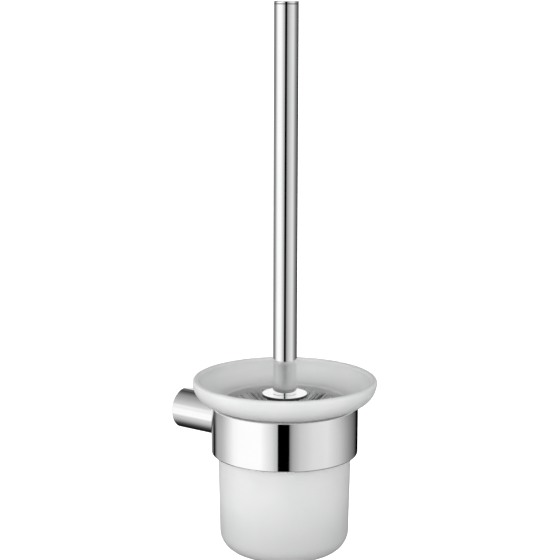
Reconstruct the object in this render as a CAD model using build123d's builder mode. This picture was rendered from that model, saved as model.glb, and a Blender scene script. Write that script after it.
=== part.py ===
from build123d import *
import os
from math import cos, radians

os.makedirs("parts", exist_ok=True)

# A wall-hung toilet brush holder: a round arm on a hidden wall bracket carries a
# ring, a flared frosted glass cup hangs in the ring, and a brush stands in the cup.
#
# Frame, in millimetres: the wall is the plane y = 0 and the object lies on its -Y
# side. The origin is the centre of the arm's end face, +Z is up, and the arm's
# axis is the Y axis. Cup, ring and brush share one upright axis, the cup axis.

# ---- driving dimensions -------------------------------------------------------

# arm and its hidden bracket
cup_reach = 87.5            # wall to cup axis
arm_radius = 14.0
arm_bore_radius = 10.8
arm_bore_depth = 26.0
arm_edge = 1.0              # chamfer round the end that meets the wall
bracket_radius = 10.65
bracket_depth = 12.0
bracket_hole_radius = 2.1
bracket_hole_spacing = 10.5
bracket_head_radius = 4.0   # countersink of each wall-screw hole
groove_radius = 9.6         # bottom of the V groove that the set screw bites into
set_screw_radius = 2.45
set_screw_hole_radius = 2.5
set_screw_from_wall = 6.0

# ring
ring_radius = 49.1
ring_bore_radius = 46.7
ring_top = 16.9             # above the arm's axis
ring_foot = -16.2
ring_edge = 1.0
ring_screw_radius = 1.95
ring_screw_hole_radius = 2.0
ring_screw_head_radius = 4.0
ring_screw_length = 11.5
ring_screw_spacing = 14.0

# plastic liner between ring and glass
liner_outer_radius = 46.65
liner_inner_radius = 45.6
liner_flange_radius = 48.0
liner_flange = 1.0

# glass cup; depths are measured down from the rim's top
rim_height = 34.4           # rim's top above the arm's axis
cup_depth = 118.0
rim_radius = 61.6
lip_radius = 2.3            # the lip is a half round
body_top_radius = 45.3
body_foot_radius = 43.2
body_corner = 13.0
cavity_top_radius = 40.4
cavity_foot_radius = 39.2
cavity_corner = 11.0
floor_thickness = 5.0
bowl_root_radius = 46.6     # where the bowl's outer curve starts on the shoulder
dish_root_radius = 42.4     # where the bowl's inner curve ends at the neck
neck_depth = 14.4
neck_edge = 1.2

# brush head
disc_radius = 15.2
disc_thickness = 1.8
disc_depth = 10.4           # disc's top below the rim
stem_radius = 7.0
stem_end_depth = 23.0
core_radius = 11.0
core_start_depth = 27.0
core_end_depth = 102.2
bristle_radius = 37.2
bristle_crown_depth = 15.0  # tips of the top tufts
bristle_foot_depth = 107.5
tuft_foot_depth = 112.7     # tips of the end tufts, on the cup's floor
tuft_foot_radius = 24.0
stud_radius = 3.95          # M8 stud, on its thread's outside
stud_hole_radius = 4.02
stud_below_disc = 16.0
stud_above_disc = 10.6

# handle
handle_top = 282.1          # above the arm's axis
handle_radius = 8.0
handle_bore_radius = 7.2
cap_thickness = 1.7
cap_spigot = 9.0
insert_radius = 7.15
insert_length = 22.0
seal_groove_inner = 4.55
seal_groove_outer = 6.5
seal_groove_depth = 1.9
seal_major_radius = 5.52
seal_minor_radius = 0.85

# clearances
touch_gap = 0.05            # between faces that only rest on each other
seat_gap = 0.02             # between the arm's coped end and the ring

# ---- derived places ----------------------------------------------------------

shoulder_height = ring_top + liner_flange
disc_top = rim_height - disc_depth
disc_foot = disc_top - disc_thickness
handle_foot = disc_top + touch_gap
cup_foot = rim_height - cup_depth
cup_floor = cup_foot + floor_thickness
ring_bore_back = ring_bore_radius - cup_reach      # y of the bore's rearmost line
ring_back = ring_radius - cup_reach                # y of the ring's rearmost line

cup_axis = Axis((0, -cup_reach, 0), (0, 0, 1))
# radius along local x, height along local y
cup_section = Plane.XZ.offset(cup_reach)
# a level plane centred on the cup axis; offset() raises it
cup_level = Plane((0, -cup_reach, 0))
# a plane on the wall; offset() moves it out of the wall, along -Y
wall_plane = Plane.XZ


def below_rim(depth):
    """Height of a point that lies this far under the rim's top."""
    return rim_height - depth


def hex_circumradius(across_flats):
    """Circumradius of a hexagon from its width across flats."""
    return across_flats / (2 * cos(radians(30)))


def arm_screw_places():
    """The ring screws' places on the wall plane, one above the other."""
    return GridLocations(0, ring_screw_spacing, 1, 2)


# ---- wall side ---------------------------------------------------------------

# Turned plug that is screwed to the wall; the arm slides over it.
with BuildPart() as wall_bracket:
    with BuildSketch(wall_plane):
        Circle(bracket_radius)
    extrude(amount=bracket_depth)
    chamfer(wall_bracket.edges().filter_by(GeomType.CIRCLE).sort_by(Axis.Y)[0], 0.6)
    groove_depth = bracket_radius - groove_radius
    with BuildSketch(Plane.XY):
        with BuildLine():
            Polyline(
                (groove_radius, -set_screw_from_wall),
                (bracket_radius + 1, -set_screw_from_wall + groove_depth + 1),
                (bracket_radius + 1, -set_screw_from_wall - groove_depth - 1),
                close=True,
            )
        make_face()
    revolve(axis=Axis.Y, mode=Mode.SUBTRACT)
    with Locations(wall_plane.offset(bracket_depth)):
        with GridLocations(bracket_hole_spacing, 0, 2, 1):
            CounterSinkHole(bracket_hole_radius, bracket_head_radius)
wall_bracket.part.label = "wall_bracket"
export_step(wall_bracket.part, "parts/wall_bracket.step")

# Round arm: bored from the wall end, solid at the front, coped to fit the ring.
with BuildPart() as support_arm:
    with BuildSketch(wall_plane):
        Circle(arm_radius)
    extrude(amount=cup_reach - ring_radius + 6)
    chamfer(support_arm.edges().filter_by(GeomType.CIRCLE).sort_by(Axis.Y)[-1], arm_edge)
    with BuildSketch(cup_level.offset(-2 * arm_radius)):
        Circle(ring_radius + seat_gap)
    extrude(amount=4 * arm_radius, mode=Mode.SUBTRACT)
    with BuildSketch(wall_plane):
        Circle(arm_bore_radius)
    extrude(amount=arm_bore_depth, mode=Mode.SUBTRACT)
    with BuildSketch(wall_plane.offset(arm_bore_depth)):
        with arm_screw_places():
            Circle(ring_screw_hole_radius)
    extrude(amount=cup_reach, mode=Mode.SUBTRACT)
    with BuildSketch(Plane.XY.offset(-arm_radius - 1)):
        with Locations((0, -set_screw_from_wall)):
            Circle(set_screw_hole_radius)
    extrude(amount=arm_radius, mode=Mode.SUBTRACT)
support_arm.part.label = "support_arm"
export_step(support_arm.part, "parts/support_arm.step")

# Set screw through the arm's underside, its cone in the bracket's groove.
set_screw_tip = -groove_radius - 0.25
set_screw_head = -arm_radius + 0.4
set_screw_tip_radius = 0.1
set_screw_cone = set_screw_radius - set_screw_tip_radius
with BuildPart() as set_screw:
    with BuildSketch(Plane.YZ):
        with BuildLine():
            Polyline(
                (-set_screw_from_wall, set_screw_tip),
                (-set_screw_from_wall, set_screw_head),
                (-set_screw_from_wall - set_screw_radius, set_screw_head),
                (-set_screw_from_wall - set_screw_radius, set_screw_tip - set_screw_cone),
                (-set_screw_from_wall - set_screw_tip_radius, set_screw_tip),
                close=True,
            )
        make_face()
    revolve(axis=Axis((0, -set_screw_from_wall, 0), (0, 0, 1)))
    with BuildSketch(Plane.XY.offset(set_screw_head)):
        with Locations((0, -set_screw_from_wall)):
            RegularPolygon(hex_circumradius(2.5), 6)
    extrude(amount=1.6, mode=Mode.SUBTRACT)
set_screw.part.label = "set_screw"
export_step(set_screw.part, "parts/set_screw.step")

# Plain ring with two countersunk holes at the back for the screws into the arm.
with BuildPart() as holder_ring:
    with BuildSketch(cup_level.offset(ring_foot)):
        Circle(ring_radius)
        Circle(ring_bore_radius, mode=Mode.SUBTRACT)
    extrude(amount=ring_top - ring_foot)
    ring_rims = holder_ring.edges().filter_by(GeomType.CIRCLE)
    fillet([edge for edge in ring_rims if edge.radius > ring_bore_radius + 1], ring_edge)
    ring_rims = holder_ring.edges().filter_by(GeomType.CIRCLE)
    chamfer([edge for edge in ring_rims if edge.radius < ring_bore_radius + 0.01], 0.4)
    with BuildSketch(wall_plane.offset(-ring_back - 1)):
        with arm_screw_places():
            Circle(ring_screw_hole_radius)
    extrude(amount=5, mode=Mode.SUBTRACT)
    head_depth = ring_screw_head_radius - ring_screw_radius
    for centre_z in (-ring_screw_spacing / 2, ring_screw_spacing / 2):
        with BuildSketch(Plane.YZ):
            with BuildLine():
                Polyline(
                    (ring_bore_back + head_depth, centre_z),
                    (ring_bore_back + head_depth, centre_z + ring_screw_radius),
                    (ring_bore_back, centre_z + ring_screw_head_radius),
                    (ring_bore_back - 1, centre_z + ring_screw_head_radius),
                    (ring_bore_back - 1, centre_z),
                    close=True,
                )
            make_face()
        revolve(axis=Axis((0, 0, centre_z), (0, 1, 0)), mode=Mode.SUBTRACT)
holder_ring.part.label = "holder_ring"
export_step(holder_ring.part, "parts/holder_ring.step")

# Two countersunk socket screws, from inside the ring into the arm's solid front.
with BuildPart() as ring_screws:
    for centre_z in (-ring_screw_spacing / 2, ring_screw_spacing / 2):
        with BuildSketch(Plane.YZ):
            with BuildLine():
                Polyline(
                    (ring_bore_back, centre_z),
                    (ring_bore_back, centre_z + ring_screw_head_radius),
                    (ring_bore_back + head_depth, centre_z + ring_screw_radius),
                    (ring_bore_back + ring_screw_length, centre_z + ring_screw_radius),
                    (ring_bore_back + ring_screw_length, centre_z),
                    close=True,
                )
            make_face()
        revolve(axis=Axis((0, 0, centre_z), (0, 1, 0)))
    with BuildSketch(wall_plane.offset(-ring_bore_back)):
        with arm_screw_places():
            RegularPolygon(hex_circumradius(2.5), 6)
    extrude(amount=-1.4, mode=Mode.SUBTRACT)
ring_screws.part.label = "ring_screws"
export_step(ring_screws.part, "parts/ring_screws.step")

# Soft plastic liner: a sleeve in the ring, and a flange that the glass sits on.
with BuildPart() as ring_liner:
    with BuildSketch(cup_level.offset(ring_foot + 1)):
        Circle(liner_outer_radius)
    extrude(amount=ring_top - ring_foot - 1)
    with BuildSketch(cup_level.offset(ring_top)):
        Circle(liner_flange_radius)
    extrude(amount=liner_flange)
    with BuildSketch(cup_level.offset(ring_foot)):
        Circle(liner_inner_radius)
    extrude(amount=2 * ring_radius, mode=Mode.SUBTRACT)
ring_liner.part.label = "ring_liner"
export_step(ring_liner.part, "parts/ring_liner.step")

# ---- glass cup ---------------------------------------------------------------

# One pressed piece: beaker, flat shoulder, and a flared dish with a round lip.
bowl_height = below_rim(lip_radius)
neck_height = below_rim(neck_depth)
with BuildPart() as glass_cup:
    with BuildSketch(cup_section) as outside:
        with BuildLine():
            Polyline(
                (0, bowl_height),
                (0, cup_foot),
                (body_foot_radius, cup_foot),
                (body_top_radius, shoulder_height),
                (bowl_root_radius, shoulder_height),
            )
            EllipticalCenterArc(
                (bowl_root_radius, bowl_height),
                rim_radius - bowl_root_radius,
                bowl_height - shoulder_height,
                start_angle=270,
                arc_size=90,
            )
            Line((rim_radius, bowl_height), (0, bowl_height))
        make_face()
        fillet(outside.vertices().sort_by(Axis.Y)[:2].sort_by(Axis.X)[-1], body_corner)
    revolve(axis=cup_axis)
    with BuildSketch(cup_section) as hollow:
        with BuildLine():
            Polyline(
                (rim_radius - 2 * lip_radius, bowl_height),
                (0, bowl_height),
                (0, cup_floor),
                (cavity_foot_radius, cup_floor),
                (cavity_top_radius, neck_height),
                (dish_root_radius, neck_height),
            )
            EllipticalCenterArc(
                (dish_root_radius, bowl_height),
                rim_radius - 2 * lip_radius - dish_root_radius,
                bowl_height - neck_height,
                start_angle=270,
                arc_size=90,
            )
        make_face()
        fillet(hollow.vertices().sort_by(Axis.Y)[:2].sort_by(Axis.X)[-1], cavity_corner)
    revolve(axis=cup_axis, mode=Mode.SUBTRACT)
    with BuildSketch(cup_section):
        with Locations((rim_radius - lip_radius, bowl_height)):
            Circle(lip_radius)
    revolve(axis=cup_axis)
    neck_rim = glass_cup.edges().filter_by(GeomType.CIRCLE)
    fillet([edge for edge in neck_rim if abs(edge.radius - cavity_top_radius) < 0.01], neck_edge)
glass_cup.part.label = "glass_cup"
export_step(glass_cup.part, "parts/glass_cup.step")

# ---- brush head --------------------------------------------------------------

# Moulded core: a stem under the disc, then the barrel that holds the tufts.
with BuildPart() as brush_core:
    with BuildSketch(cup_section) as core_outline:
        with BuildLine():
            Polyline(
                (0, disc_foot),
                (stem_radius, disc_foot),
                (stem_radius, below_rim(stem_end_depth)),
                (core_radius, below_rim(core_start_depth)),
                (core_radius, below_rim(core_end_depth)),
                (0, below_rim(core_end_depth)),
                close=True,
            )
        make_face()
        fillet(core_outline.vertices().sort_by(Axis.Y)[:2].sort_by(Axis.X)[-1], 1.5)
    revolve(axis=cup_axis)
    with BuildSketch(cup_level.offset(disc_foot)):
        Circle(stud_hole_radius)
    extrude(amount=-stud_below_disc, mode=Mode.SUBTRACT)
brush_core.part.label = "brush_core"
export_step(brush_core.part, "parts/brush_core.step")

# Steel stud: fast in the core, and the thread that the handle screws on to.
with BuildPart() as core_stud:
    with BuildSketch(cup_level.offset(disc_foot - stud_below_disc)):
        Circle(stud_radius)
    extrude(amount=stud_below_disc + disc_thickness + stud_above_disc)
    chamfer(core_stud.edges().filter_by(GeomType.CIRCLE), 0.7)
core_stud.part.label = "core_stud"
export_step(core_stud.part, "parts/core_stud.step")

# Loose polished disc between the brush head and the handle.
with BuildPart() as cover_disc:
    with BuildSketch(cup_level.offset(disc_foot)):
        Circle(disc_radius)
        Circle(stud_hole_radius + 0.2, mode=Mode.SUBTRACT)
    extrude(amount=disc_thickness)
    disc_rims = cover_disc.edges().filter_by(GeomType.CIRCLE)
    fillet([edge for edge in disc_rims if edge.radius > core_radius], 0.35)
cover_disc.part.label = "cover_disc"
export_step(cover_disc.part, "parts/cover_disc.step")

# Tufts round the barrel, as one closed solid of their outer shape.
root_radius = core_radius + touch_gap
with BuildPart() as side_bristles:
    with BuildSketch(cup_section) as side_outline:
        with BuildLine():
            Polyline(
                (root_radius, below_rim(core_start_depth + 0.6)),
                (bristle_radius - 1, below_rim(bristle_crown_depth)),
                (bristle_radius, below_rim(bristle_crown_depth + 1.5)),
                (bristle_radius, below_rim(bristle_foot_depth - 9)),
                (bristle_radius - 7, below_rim(bristle_foot_depth)),
                (root_radius, below_rim(core_end_depth - 3)),
                close=True,
            )
        make_face()
    revolve(axis=cup_axis)
side_bristles.part.label = "side_bristles"
export_step(side_bristles.part, "parts/side_bristles.step")

# Tufts under the barrel's end; their tips stand on the cup's floor.
with BuildPart() as end_bristles:
    with BuildSketch(cup_section):
        with BuildLine():
            Polyline(
                (0, below_rim(core_end_depth) - touch_gap),
                (core_radius, below_rim(core_end_depth) - touch_gap),
                (tuft_foot_radius + 4, below_rim(tuft_foot_depth - 3.2)),
                (tuft_foot_radius, below_rim(tuft_foot_depth)),
                (0, below_rim(tuft_foot_depth)),
                close=True,
            )
        make_face()
    revolve(axis=cup_axis)
end_bristles.part.label = "end_bristles"
export_step(end_bristles.part, "parts/end_bristles.step")

# ---- handle ------------------------------------------------------------------

# Rubber ring in the handle's foot; it seals against the disc.
with BuildPart() as handle_seal:
    with BuildSketch(cup_section):
        with Locations((seal_major_radius, disc_top + touch_gap + seal_minor_radius)):
            Circle(seal_minor_radius)
    revolve(axis=cup_axis)
handle_seal.part.label = "handle_seal"
export_step(handle_seal.part, "parts/handle_seal.step")

# Threaded plug pressed into the tube's foot, with a groove for the seal.
with BuildPart() as handle_insert:
    with BuildSketch(cup_level.offset(handle_foot)):
        Circle(insert_radius)
    extrude(amount=insert_length)
    with BuildSketch(cup_level.offset(handle_foot)):
        Circle(stud_hole_radius)
    extrude(amount=insert_length - 6, mode=Mode.SUBTRACT)
    with BuildSketch(cup_level.offset(handle_foot)):
        Circle(seal_groove_outer)
        Circle(seal_groove_inner, mode=Mode.SUBTRACT)
    extrude(amount=seal_groove_depth, mode=Mode.SUBTRACT)
handle_insert.part.label = "handle_insert"
export_step(handle_insert.part, "parts/handle_insert.step")

# Long polished tube.
tube_top = handle_top - cap_thickness
with BuildPart() as handle_tube:
    with BuildSketch(cup_level.offset(handle_foot)):
        Circle(handle_radius)
        Circle(handle_bore_radius, mode=Mode.SUBTRACT)
    extrude(amount=tube_top - handle_foot)
    tube_rims = handle_tube.edges().filter_by(GeomType.CIRCLE)
    chamfer([edge for edge in tube_rims if edge.radius > handle_bore_radius + 0.1], 0.15)
handle_tube.part.label = "handle_tube"
export_step(handle_tube.part, "parts/handle_tube.step")

# Cap pressed into the tube's top.
with BuildPart() as handle_cap:
    with BuildSketch(cup_level.offset(tube_top)):
        Circle(handle_radius)
    extrude(amount=cap_thickness)
    cap_rims = handle_cap.edges().filter_by(GeomType.CIRCLE).sort_by(Axis.Z)
    chamfer(cap_rims[-1], 0.4)
    chamfer(cap_rims[0], 0.15)
    with BuildSketch(cup_level.offset(tube_top)):
        Circle(insert_radius)
        Circle(insert_radius - 1.4, mode=Mode.SUBTRACT)
    extrude(amount=-cap_spigot)
handle_cap.part.label = "handle_cap"
export_step(handle_cap.part, "parts/handle_cap.step")
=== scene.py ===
import math
import random

import bpy
from mathutils import Matrix, Vector


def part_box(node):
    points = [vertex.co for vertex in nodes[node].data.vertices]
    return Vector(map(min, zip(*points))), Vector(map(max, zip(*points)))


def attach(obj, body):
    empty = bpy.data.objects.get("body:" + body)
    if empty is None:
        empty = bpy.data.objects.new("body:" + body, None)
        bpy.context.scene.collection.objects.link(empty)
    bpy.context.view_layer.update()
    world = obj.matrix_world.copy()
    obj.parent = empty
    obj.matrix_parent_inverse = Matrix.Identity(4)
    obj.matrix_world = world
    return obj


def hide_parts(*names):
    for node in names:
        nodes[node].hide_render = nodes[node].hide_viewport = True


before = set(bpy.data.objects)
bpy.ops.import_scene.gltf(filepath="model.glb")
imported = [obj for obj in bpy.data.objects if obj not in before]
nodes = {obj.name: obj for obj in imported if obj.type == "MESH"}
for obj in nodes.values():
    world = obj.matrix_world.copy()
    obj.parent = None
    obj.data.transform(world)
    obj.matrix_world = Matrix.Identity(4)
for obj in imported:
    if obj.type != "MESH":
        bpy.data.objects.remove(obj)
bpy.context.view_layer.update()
scene = bpy.context.scene
MM = 0.001

# ---- places read from the frame ---------------------------------------------

cup_low, cup_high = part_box("glass_cup")
core_low, core_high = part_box("brush_core")
side_low, side_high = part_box("side_bristles")
end_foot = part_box("end_bristles")[0].z
stud_low, stud_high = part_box("core_stud")
disc_low, disc_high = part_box("cover_disc")
tube_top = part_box("handle_tube")[1].z
cup_axis = Vector(((cup_low.x + cup_high.x) / 2, (cup_low.y + cup_high.y) / 2, 0))
rim_height = cup_high.z

# ---- camera -----------------------------------------------------------------

camera_azimuth = math.radians(-54.3)
camera_distance = 1010 * MM         # level distance from the cup's axis
camera_rise = 260 * MM              # above the rim
camera_tilt = math.radians(10.85)
camera_pan = math.radians(0.195)
camera_roll = math.radians(0.20)
lens_per_frame = 2.7857             # focal length over the picture's width


def make_camera():
    data = bpy.data.cameras.new("camera")
    data.sensor_width = 36
    data.lens = data.sensor_width * lens_per_frame
    data.clip_end = 200
    camera = bpy.data.objects.new("camera", data)
    scene.collection.objects.link(camera)
    place = cup_axis + Vector((
        math.sin(camera_azimuth) * camera_distance,
        -math.cos(camera_azimuth) * camera_distance,
        rim_height + camera_rise,
    ))
    camera.matrix_world = (
        Matrix.Translation(place)
        @ Matrix.Rotation(camera_azimuth + camera_pan, 4, "Z")
        @ Matrix.Rotation(math.pi / 2 - camera_tilt, 4, "X")
        @ Matrix.Rotation(camera_roll, 4, "Z")
    )
    scene.camera = camera


# ---- node helpers -----------------------------------------------------------

def add(tree, kind, **settings):
    """A new node; settings are its own properties."""
    new = tree.nodes.new(kind)
    for name, value in settings.items():
        setattr(new, name, value)
    return new


def feed(tree, slot, value):
    """Gives an input a number, a colour or another node's output."""
    if isinstance(value, bpy.types.NodeSocket):
        tree.links.new(value, slot)
    else:
        slot.default_value = value


def math_node(tree, operation, *values):
    """A Math node fed by sockets or numbers; returns its output."""
    new = add(tree, "ShaderNodeMath", operation=operation)
    for slot, value in zip(new.inputs, values):
        feed(tree, slot, value)
    return new.outputs[0]


def mix_colour(tree, factor, a, b):
    new = add(tree, "ShaderNodeMix", data_type="RGBA")
    feed(tree, new.inputs["Factor"], factor)
    feed(tree, new.inputs["A"], a)
    feed(tree, new.inputs["B"], b)
    return new.outputs["Result"]


def ramp_node(tree, factor, stops):
    """A colour ramp; stops are (place, grey) or (place, (r, g, b))."""
    ramp = add(tree, "ShaderNodeValToRGB")
    elements = ramp.color_ramp.elements
    while len(elements) < len(stops):
        elements.new(0.5)
    for element, (place, tone) in zip(elements, stops):
        element.position = place
        element.color = (*tone, 1) if isinstance(tone, tuple) else (tone, tone, tone, 1)
    tree.links.new(factor, ramp.inputs[0])
    return ramp.outputs[0]


def ranged(tree, value, low, high, start=0.35, stop=0.65, smooth=False):
    """Value from start..stop mapped to low..high."""
    kind = "SMOOTHSTEP" if smooth else "LINEAR"
    new = add(tree, "ShaderNodeMapRange", interpolation_type=kind)
    new.inputs["From Min"].default_value = start
    new.inputs["From Max"].default_value = stop
    new.inputs["To Min"].default_value = low
    new.inputs["To Max"].default_value = high
    tree.links.new(value, new.inputs["Value"])
    return new.outputs[0]


# ---- studio -----------------------------------------------------------------

# What stands round the object, as (degrees to the right of the camera, brightness):
# white cards at both sides, a black flag by the camera, and flags behind.
low_ring = [
    (-180, 0.30), (-152.5, 0.30), (-151, 0.0), (-144, 0.0), (-141, 0.07), (-137.5, 0.16),
    (-134, 0.33), (-129, 0.41), (-117, 0.47), (-109, 0.56), (-97, 0.77), (-86, 0.95), (-75, 1.0),
    (-38, 1.0), (-20, 0.72), (-11, 0.48), (-10.2, 0.0), (7.2, 0.0), (8.4, 0.22), (13, 0.40),
    (25, 0.59), (45, 0.72), (70, 0.76), (93, 0.59), (119, 0.31), (139, 0.14), (149, 0.037),
    (153, 0.0), (180, 0.0),
]
# The same a little higher, where the handle reflects it.
middle_ring = [
    (-180, 0.30), (-140, 0.30), (-132, 0.22), (-116, 0.20), (-108, 0.35), (-100, 0.53),
    (-87, 0.84), (-75, 0.98), (-64, 1.0), (-48, 1.0), (-36, 0.86), (-25, 0.62), (-11, 0.38),
    (-10.2, 0.0), (6.4, 0.0), (12, 0.28), (20, 0.40), (30, 0.52), (40, 0.62), (59, 0.74),
    (72, 0.76), (82, 0.57), (94, 0.34), (108, 0.20), (125, 0.12), (140, 0.06), (150, 0.0),
    (180, 0.0),
]
# At eye level and a little above: white, with the black flag by the camera.
eye_ring = [
    (-180, 0.95), (-90, 0.9), (-30, 0.8), (-9, 0.6), (-8, 0.0), (6, 0.0), (7, 0.5), (40, 0.8),
    (180, 0.95),
]
# Half way up: white in front and at the right, a grey flag behind on the left.
high_ring = [
    (-180, 0.16), (-171, 0.15), (-158, 0.06), (-141, 0.16), (-121, 0.30), (-104, 0.37), (-92, 0.45),
    (-83, 0.56), (-76, 0.68), (-60, 0.9), (60, 0.9), (120, 0.8), (165, 0.5), (180, 0.16),
]
# Half way down: dim, with a pale patch on the left that fades to black behind.
under_ring = [
    (-180, 0.02), (-149, 0.01), (-124, 0.07), (-108, 0.21), (-94, 0.43), (-84, 0.60), (-76, 0.70),
    (-60, 0.6), (0, 0.3), (60, 0.3), (150, 0.1), (180, 0.02),
]
# What frosted glass lets through: white paper, and the black flag by the camera.
paper_ring = [
    (-180, 0.55), (-162, 0.48), (-150, 0.0), (-120, 0.0), (-100, 0.5), (-85, 1.0), (-50, 1.0),
    (-25, 0.5), (-12, 0.1), (-10.2, 0.0), (7.2, 0.0), (12, 0.08), (30, 0.45), (60, 0.6),
    (85, 0.4), (105, 0.1), (120, 0.0), (150, 0.0), (162, 0.48), (180, 0.55),
]
# The broad light that matt surfaces gather: strongest from the front and left.
soft_ring = [
    (-180, 0.09), (-130, 0.32), (-80, 1.0), (-20, 1.0), (30, 0.84), (80, 0.60), (130, 0.22),
    (180, 0.09),
]
soft_strength = 2.65
overhead = (0.9, 0.9, 0.9, 1)
underfoot = (0.22, 0.22, 0.22, 1)
soft_above = (0.18, 0.18, 0.18, 1)
soft_below = (0.11, 0.11, 0.11, 1)


def ring_ramp(tree, bearing, ring):
    return ramp_node(tree, bearing, [(degrees / 360 + 0.5, grey) for degrees, grey in ring])


def make_world():
    world = bpy.data.worlds.new("studio")
    scene.world = world
    world.use_nodes = True
    tree = world.node_tree
    tree.nodes.clear()
    coordinates = add(tree, "ShaderNodeTexCoord")
    turned = add(tree, "ShaderNodeVectorRotate", rotation_type="Z_AXIS")
    turned.inputs["Angle"].default_value = -camera_azimuth
    tree.links.new(coordinates.outputs["Generated"], turned.inputs["Vector"])
    split = add(tree, "ShaderNodeSeparateXYZ")
    tree.links.new(turned.outputs[0], split.inputs[0])
    toward_camera = math_node(tree, "MULTIPLY", split.outputs["Y"], -1.0)
    angle = math_node(tree, "ARCTAN2", split.outputs["X"], toward_camera)
    bearing = math_node(tree, "MULTIPLY_ADD", angle, 1 / (2 * math.pi), 0.5)
    # each layer takes over from the one below it between two heights on the unit sphere
    layers = [
        (-0.96, -0.80, ring_ramp(tree, bearing, under_ring)),
        (-0.50, -0.33, ring_ramp(tree, bearing, low_ring)),
        (-0.285, -0.245, ring_ramp(tree, bearing, middle_ring)),
        (0.02, 0.14, ring_ramp(tree, bearing, eye_ring)),
        (0.29, 0.44, ring_ramp(tree, bearing, high_ring)),
        (0.86, 0.97, overhead),
    ]
    colour = underfoot
    for start, stop, layer in layers:
        share = ranged(tree, split.outputs["Z"], 0, 1, start, stop, True)
        colour = mix_colour(tree, share, colour, layer)
    soft = soft_below
    for start, stop, layer in ((-0.7, 0.0, ring_ramp(tree, bearing, soft_ring)), (0.3, 0.8, soft_above)):
        share = ranged(tree, split.outputs["Z"], 0, 1, start, stop, True)
        soft = mix_colour(tree, share, soft, layer)
    path = add(tree, "ShaderNodeLightPath")
    matt = path.outputs["Is Diffuse Ray"]
    colour = mix_colour(tree, matt, colour, soft)
    paper = ring_ramp(tree, bearing, paper_ring)
    colour = mix_colour(tree, path.outputs["Is Transmission Ray"], colour, paper)
    # the camera itself sees plain white behind the object
    colour = mix_colour(tree, path.outputs["Is Camera Ray"], colour, (1, 1, 1, 1))
    light = add(tree, "ShaderNodeBackground")
    tree.links.new(colour, light.inputs["Color"])
    strength = math_node(tree, "MULTIPLY_ADD", matt, soft_strength - 1, 1.0)
    tree.links.new(strength, light.inputs["Strength"])
    out = add(tree, "ShaderNodeOutputWorld")
    tree.links.new(light.outputs[0], out.inputs["Surface"])


floor_half = 60.0
floor_drop = 400 * MM


def make_floor():
    """A white paper floor, far enough below to look seamless."""
    z = cup_low.z - floor_drop
    mesh = bpy.data.meshes.new("floor")
    signs = ((-1, -1), (1, -1), (1, 1), (-1, 1))
    corners = [(floor_half * x, floor_half * y, z) for x, y in signs]
    mesh.from_pydata(corners, [], [(0, 1, 2, 3)])
    floor = bpy.data.objects.new("floor", mesh)
    scene.collection.objects.link(floor)
    material, tree, shader = new_material("floor_paper")
    shader.inputs["Base Color"].default_value = (0.9, 0.9, 0.9, 1)
    shader.inputs["Roughness"].default_value = 0.9
    shader.inputs["Emission Color"].default_value = (1, 1, 1, 1)
    shader.inputs["Emission Strength"].default_value = 1.0
    mesh.materials.append(material)
    floor.visible_glossy = False
    floor.visible_diffuse = False
    floor.visible_transmission = False


# ---- materials --------------------------------------------------------------

def new_material(name):
    material = bpy.data.materials.new(name)
    material.use_nodes = True
    tree = material.node_tree
    return material, tree, tree.nodes["Principled BSDF"]


def object_noise(tree, scale, detail=3.0, stretch=(1, 1, 1)):
    """Noise in the object's own space, scale in cells per metre."""
    coordinates = add(tree, "ShaderNodeTexCoord")
    mapping = add(tree, "ShaderNodeMapping")
    mapping.inputs["Scale"].default_value = stretch
    tree.links.new(coordinates.outputs["Object"], mapping.inputs["Vector"])
    noise = add(tree, "ShaderNodeTexNoise")
    noise.inputs["Scale"].default_value = scale
    noise.inputs["Detail"].default_value = detail
    tree.links.new(mapping.outputs[0], noise.inputs["Vector"])
    return noise.outputs[0]


def bump(tree, shader, height, distance):
    new = add(tree, "ShaderNodeBump")
    new.inputs["Distance"].default_value = distance
    tree.links.new(height, new.inputs["Height"])
    tree.links.new(new.outputs[0], shader.inputs["Normal"])


def chrome():
    """Mirror plate with a trace of polishing haze and orange peel."""
    material, tree, shader = new_material("chrome_plate")
    shader.inputs["Metallic"].default_value = 1.0
    haze = object_noise(tree, 45)
    colour = ramp_node(tree, haze, [(0.3, (0.955, 0.958, 0.965)), (0.7, (0.985, 0.985, 0.985))])
    tree.links.new(colour, shader.inputs["Base Color"])
    smear = object_noise(tree, 220, 4, (1, 1, 0.25))
    tree.links.new(ranged(tree, smear, 0.015, 0.055), shader.inputs["Roughness"])
    bump(tree, shader, object_noise(tree, 320, 1), 0.0015 * MM)
    return material


# painted shade: colours for the dark band on the disc's rim and for the seam at the tube's end
painted_rim_shade = (0.13, 0.13, 0.135, 1)
painted_seam_shade = (0.30, 0.30, 0.31, 1)
rim_width = 0.35 * MM
seam_width = 0.65 * MM
seam_fade = 0.2 * MM


def shade_plate(material, place, start, stop, shade):
    """Paints shade into a chrome plate's colour where place runs from start to stop."""
    tree = material.node_tree
    shader = tree.nodes["Principled BSDF"]
    plate = shader.inputs["Base Color"].links[0].from_socket
    share = ranged(tree, place, 0, 1, start, stop)
    tree.links.new(mix_colour(tree, share, plate, shade), shader.inputs["Base Color"])
    return material


def disc_chrome():
    """The disc's narrow rim is darkened with painted shade."""
    material = chrome()
    tree = material.node_tree
    coordinates = add(tree, "ShaderNodeTexCoord")
    across = add(tree, "ShaderNodeVectorMath", operation="MULTIPLY_ADD")
    feed(tree, across.inputs[0], coordinates.outputs["Object"])
    feed(tree, across.inputs[1], (1, 1, 0))
    feed(tree, across.inputs[2], tuple(-cup_axis))
    from_axis = add(tree, "ShaderNodeVectorMath", operation="LENGTH")
    feed(tree, from_axis.inputs[0], across.outputs[0])
    start = (disc_high.x - disc_low.x) / 2 - rim_width
    return shade_plate(material, from_axis.outputs["Value"], start, start + seam_fade, painted_rim_shade)


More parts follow.
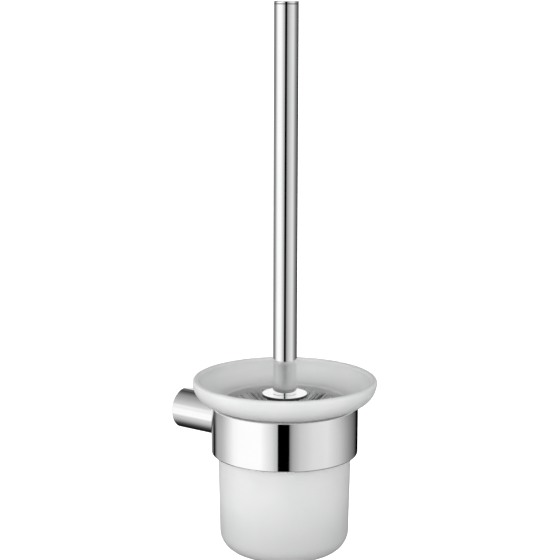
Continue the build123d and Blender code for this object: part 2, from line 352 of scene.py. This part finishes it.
def tube_chrome():
    """The tube's end is broken under the cap; the fine dark seam there is painted shade."""
    material = chrome()
    tree = material.node_tree
    coordinates = add(tree, "ShaderNodeTexCoord")
    split = add(tree, "ShaderNodeSeparateXYZ")
    feed(tree, split.inputs[0], coordinates.outputs["Object"])
    start = tube_top - seam_width
    return shade_plate(material, split.outputs["Z"], start, start + seam_fade, painted_seam_shade)


painted_foot_shade = (0.72, 0.725, 0.725, 1)


def frosted_glass():
    """Pressed glass with a satin frost: pale, cloudy and faintly see-through."""
    material, tree, shader = new_material("frosted_glass")
    cloud = object_noise(tree, 38, 4)
    colour = ramp_node(tree, cloud, [(0.32, (0.90, 0.908, 0.908)), (0.68, (0.965, 0.968, 0.965))])
    # painted shade: the glass is a little greyer towards the cup's foot, where less light falls
    coordinates = add(tree, "ShaderNodeTexCoord")
    split = add(tree, "ShaderNodeSeparateXYZ")
    tree.links.new(coordinates.outputs["Object"], split.inputs[0])
    foot_shade_share = ranged(tree, split.outputs["Z"], 1, 0, cup_low.z + 2 * MM, cup_low.z + 48 * MM, True)
    colour = mix_colour(tree, foot_shade_share, colour, painted_foot_shade)
    tree.links.new(colour, shader.inputs["Base Color"])
    frost = object_noise(tree, 1800, 2)
    tree.links.new(ranged(tree, frost, 0.36, 0.46), shader.inputs["Roughness"])
    shader.inputs["IOR"].default_value = 1.5
    shader.inputs["Transmission Weight"].default_value = 0.42
    bump(tree, shader, frost, 0.004 * MM)
    return material


def moulded_plastic(name, dark, light, roughness):
    """Matt moulded plastic with a fine spark-eroded grain."""
    material, tree, shader = new_material(name)
    tree.links.new(ramp_node(tree, object_noise(tree, 70), [(0.3, dark), (0.7, light)]),
                   shader.inputs["Base Color"])
    grain = object_noise(tree, 3200, 2)
    tree.links.new(ranged(tree, grain, roughness - 0.06, roughness + 0.08), shader.inputs["Roughness"])
    shader.inputs["Subsurface Weight"].default_value = 0.15
    shader.inputs["Subsurface Radius"].default_value = (2 * MM, 2 * MM, 2 * MM)
    bump(tree, shader, grain, 0.02 * MM)
    return material


def turned_metal(name, dark, light, roughness, axis):
    """Metal with fine rings left by the lathe; axis is a unit axis as (x, y, z)."""
    material, tree, shader = new_material(name)
    shader.inputs["Metallic"].default_value = 1.0
    along = tuple(90 if part else 2 for part in axis)
    marks = object_noise(tree, 60, 5, along)
    patina = object_noise(tree, 90, 4)
    tree.links.new(ramp_node(tree, patina, [(0.3, dark), (0.7, light)]), shader.inputs["Base Color"])
    tree.links.new(ranged(tree, marks, roughness - 0.1, roughness + 0.14), shader.inputs["Roughness"])
    bump(tree, shader, marks, 0.01 * MM)
    return material


def rubber():
    material, tree, shader = new_material("black_rubber")
    dust = object_noise(tree, 700, 4)
    tree.links.new(ramp_node(tree, dust, [(0.35, (0.018, 0.018, 0.019)), (0.7, (0.05, 0.05, 0.05))]),
                   shader.inputs["Base Color"])
    tree.links.new(ranged(tree, dust, 0.55, 0.8), shader.inputs["Roughness"])
    bump(tree, shader, dust, 0.02 * MM)
    return material


def bristle_nylon():
    """Nylon filament; each bristle carries its own tint, and the roots are darkened with painted shade."""
    material, tree, shader = new_material("bristle_nylon")
    tint = add(tree, "ShaderNodeAttribute", attribute_name="tint")
    colour = ramp_node(tree, tint.outputs["Fac"], [
        (0.0, (0.012, 0.013, 0.014)), (0.4, (0.04, 0.042, 0.044)), (0.55, (0.62, 0.63, 0.63)),
        (1.0, (0.92, 0.92, 0.92)),
    ])
    tree.links.new(colour, shader.inputs["Base Color"])
    streak = object_noise(tree, 900, 2)
    tree.links.new(ranged(tree, streak, 0.3, 0.5), shader.inputs["Roughness"])
    return material


steel_tones = ((0.5, 0.5, 0.51), (0.66, 0.66, 0.67))
steel_roughness = 0.3


def dress(names, material):
    for name in names:
        slots = nodes[name].data.materials
        slots.clear()
        slots.append(material)


# ---- meshes -----------------------------------------------------------------

def mesh_object(name, points, faces):
    mesh = bpy.data.meshes.new(name)
    mesh.from_pydata(points, [], faces)
    mesh.polygons.foreach_set("use_smooth", [True] * len(faces))
    mesh.update()
    obj = bpy.data.objects.new(name, mesh)
    scene.collection.objects.link(obj)
    return obj


# ---- bristles ---------------------------------------------------------------

bristle_sides = 3
bristle_steps = 4
bristle_thickness = 0.56 * MM
bristle_taper = 0.25        # share of the thickness lost at the tip
# painted shade: bristles darken towards their roots, deep in the tufts
shaded_root_share = 0.3             # share of its tint that a bristle has at the root
root_shade_fade = 2.2             # gained from root to tip, up to the whole tint

# side tufts
tuft_rings = 16
tufts_per_ring = 18
bristles_per_tuft = 11
full_rings = 2              # the top rings, fuller and paler than the others
full_factor = 3
palest = 0.28               # least tint in the full rings
tuft_radius = 1.5 * MM
root_depth = 0.5 * MM       # how far a bristle starts inside the barrel
top_root_drop = 15 * MM     # top ring's roots, below the tufts' highest tips
foot_root_rise = 4.5 * MM   # bottom ring's roots, above the barrel's end
top_rise = math.radians(25.5)
foot_rise = math.radians(-17)
side_spread = 0.105         # of a tuft's bristles, in radians
rise_spread = 0.075         # of their slopes, in radians
rise_limit = 0.17           # most that a slope strays from its ring's
top_limit = 0.01            # the same in the top ring, upwards
tip_gap = 0.3 * MM          # between the longest tips and the tufts' outer face
shortest = 0.93             # shortest bristle's share of the full length
tip_above_end = 5.2 * MM    # lowest tips of the side tufts, above those of the end tufts
side_bow = 0.7 * MM         # most that a bristle bows sideways
down_bow = 0.5 * MM         # most that it bows downwards

# end tufts: radius of the roots, radius of the tips, number of tufts
end_rings = ((3.2 * MM, 7 * MM, 5), (8.2 * MM, 20 * MM, 11))
bristles_per_end_tuft = 18
end_side_spread = 0.16      # of the tips' bearings, in radians
end_root_spread = 0.05      # of the roots' bearings
end_root_depth = 0.4 * MM   # how far they start inside the barrel
end_tip_gap = 0.25 * MM     # under the lowest tips
end_tip_unevenness = 0.8 * MM


def level(bearing):
    """A level unit vector."""
    return Vector((math.cos(bearing), math.sin(bearing), 0))


def add_bristle(points, faces, tints_with_root_shade, root, tip, bow, tint):
    """One filament from root to tip: a thin three-sided tube with a slight bow."""
    along = (tip - root).normalized()
    side = along.orthogonal().normalized()
    over = along.cross(side)
    first = len(points)
    for step in range(bristle_steps + 1):
        t = step / bristle_steps
        centre = root.lerp(tip, t) + bow * math.sin(math.pi * t)
        radius = bristle_thickness / 2 * (1 - bristle_taper * t)
        for corner in range(bristle_sides):
            angle = 2 * math.pi * corner / bristle_sides
            offset = side * (radius * math.cos(angle)) + over * (radius * math.sin(angle))
            points.append(centre + offset)
            # painted shade: the tint darkens towards the root
            tints_with_root_shade.append(tint * min(1.0, shaded_root_share + root_shade_fade * t))
    for step in range(bristle_steps):
        for corner in range(bristle_sides):
            a = first + step * bristle_sides + corner
            b = first + step * bristle_sides + (corner + 1) % bristle_sides
            faces.append((a, b, b + bristle_sides, a + bristle_sides))
    last = first + bristle_steps * bristle_sides
    faces.append(tuple(first + corner for corner in reversed(range(bristle_sides))))
    faces.append(tuple(last + corner for corner in range(bristle_sides)))


def finish_bristles(name, replaced, points, faces, tints_with_root_shade, material):
    obj = mesh_object(name, points, faces)
    # the tint attribute holds each bristle's own tone with painted shade at its root
    layer = obj.data.attributes.new("tint", "FLOAT", "POINT")
    layer.data.foreach_set("value", tints_with_root_shade)
    obj.data.materials.append(material)
    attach(obj, "brush_head")
    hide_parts(replaced)
    return obj


def make_side_bristles(material):
    """Rings of tufts round the barrel: the top ones rise, the bottom ones droop."""
    dice = random.Random(7)
    points, faces, tints_with_root_shade = [], [], []
    core_radius = (core_high.x - core_low.x) / 2
    reach = (side_high.x - side_low.x) / 2
    top_root = side_high.z - top_root_drop
    foot_root = core_low.z + foot_root_rise
    for ring in range(tuft_rings):
        t = ring / (tuft_rings - 1)
        z = top_root + (foot_root - top_root) * t
        rise = top_rise + (foot_rise - top_rise) * t
        per_tuft = bristles_per_tuft * (full_factor if ring < full_rings else 1)
        for tuft in range(tufts_per_ring):
            bearing = 2 * math.pi * (tuft + 0.5 * (ring % 2)) / tufts_per_ring
            for _ in range(per_tuft):
                turn = bearing + dice.gauss(0, side_spread)
                lift = rise + max(-rise_limit, min(rise_limit, dice.gauss(0, rise_spread)))
                if ring == 0:
                    lift = min(lift, top_rise + top_limit)
                out = level(turn)
                start_turn = bearing + dice.uniform(-1, 1) * tuft_radius / core_radius
                start = level(start_turn) * (core_radius - root_depth)
                start.z = z + dice.uniform(-1, 1) * tuft_radius
                length = (reach - tip_gap - core_radius) * dice.uniform(shortest, 1.0)
                tip = out * (core_radius + length)
                tip.z = start.z + math.tan(lift) * length
                tip.z = max(tip.z, end_foot + tip_above_end)
                bow = Vector((-out.y, out.x, 0)) * (dice.uniform(-1, 1) * side_bow)
                bow.z = dice.uniform(-1, 0.6) * down_bow
                tint = dice.random()
                if ring < full_rings:
                    tint = palest + (1 - palest) * tint
                add_bristle(points, faces, tints_with_root_shade, cup_axis + start, cup_axis + tip, bow, tint)
    return finish_bristles("side_tufts", "side_bristles", points, faces, tints_with_root_shade, material)


def make_end_bristles(material):
    """Tufts in the barrel's end, splayed on to the cup's floor."""
    dice = random.Random(11)
    points, faces, tints_with_root_shade = [], [], []
    straight = Vector((0, 0, 0))
    root_z = core_low.z + end_root_depth
    tip_z = end_foot + end_tip_gap
    for ring_radius, tip_radius, count in end_rings:
        for tuft in range(count):
            bearing = 2 * math.pi * (tuft + 0.3) / count
            for _ in range(bristles_per_end_tuft):
                turn = bearing + dice.gauss(0, end_side_spread)
                near = bearing + dice.gauss(0, end_root_spread)
                start = level(near) * (ring_radius + dice.uniform(-1, 1) * MM)
                start.z = root_z
                tip = level(turn) * (tip_radius * dice.uniform(0.7, 1.15))
                tip.z = tip_z + dice.uniform(0, 1) * end_tip_unevenness
                add_bristle(points, faces, tints_with_root_shade, cup_axis + start, cup_axis + tip, straight, dice.random())
    return finish_bristles("end_tufts", "end_bristles", points, faces, tints_with_root_shade, material)


# ---- thread -----------------------------------------------------------------

thread_pitch = 1.25 * MM
thread_depth = 0.68 * MM
thread_corners = 40         # round the stud
thread_rows = 8             # along one pitch
end_chamfer = 0.1 * MM      # how far below the root of the thread the ends begin


def make_stud(material):
    """The stud with its M8 thread cut as a real right-hand helix."""
    outer = (stud_high.x - stud_low.x) / 2
    inner = outer - thread_depth
    around = thread_corners
    height = stud_high.z - stud_low.z
    rows = int(height / thread_pitch * thread_rows)
    points, faces = [], []
    for row in range(rows + 1):
        z = height * row / rows
        limit = inner - end_chamfer + min(z, height - z)
        for corner in range(around):
            turn = corner / around
            phase = (z / thread_pitch - turn) % 1
            ridge = min(1.0, max(0.0, 1.25 * (1 - abs(2 * phase - 1)) - 0.125))
            radius = min(limit, inner + thread_depth * ridge)
            angle = 2 * math.pi * turn
            points.append(cup_axis + Vector((
                radius * math.cos(angle), radius * math.sin(angle), stud_low.z + z,
            )))
    for row in range(rows):
        for corner in range(around):
            a = row * around + corner
            b = row * around + (corner + 1) % around
            faces.append((a, b, b + around, a + around))
    faces.append(tuple(reversed(range(around))))
    faces.append(tuple(rows * around + corner for corner in range(around)))
    obj = mesh_object("threaded_stud", points, faces)
    obj.data.materials.append(material)
    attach(obj, "brush_head")
    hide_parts("core_stud")
    return obj


# ---- the whole --------------------------------------------------------------

scene.view_settings.view_transform = "Standard"
make_camera()
make_world()
make_floor()

dress(["support_arm", "holder_ring", "handle_cap"], chrome())
dress(["handle_tube"], tube_chrome())
dress(["cover_disc"], disc_chrome())
dress(["glass_cup"], frosted_glass())
white = moulded_plastic("white_plastic", (0.72, 0.72, 0.71), (0.82, 0.82, 0.81), 0.45)
dress(["brush_core"], white)
# painted shade: the liner is dark grey so that the gap between the cup's flare and the ring reads as shadow
grey = moulded_plastic("liner_plastic", (0.17, 0.172, 0.174), (0.24, 0.242, 0.245), 0.5)
dress(["ring_liner"], grey)
zinc = turned_metal("turned_zinc", (0.42, 0.43, 0.44), (0.56, 0.57, 0.58), 0.42, (0, 1, 0))
dress(["wall_bracket"], zinc)
screw_steel = turned_metal("ring_screw_steel", *steel_tones, steel_roughness, (0, 1, 0))
dress(["ring_screws"], screw_steel)
stud_steel = turned_metal("stud_steel", *steel_tones, steel_roughness, (0, 0, 1))
dress(["set_screw"], stud_steel)
brass = turned_metal("turned_brass", (0.68, 0.49, 0.2), (0.82, 0.62, 0.3), 0.28, (0, 0, 1))
dress(["handle_insert"], brass)
dress(["handle_seal"], rubber())
nylon = bristle_nylon()
make_side_bristles(nylon)
make_end_bristles(nylon)
make_stud(stud_steel)
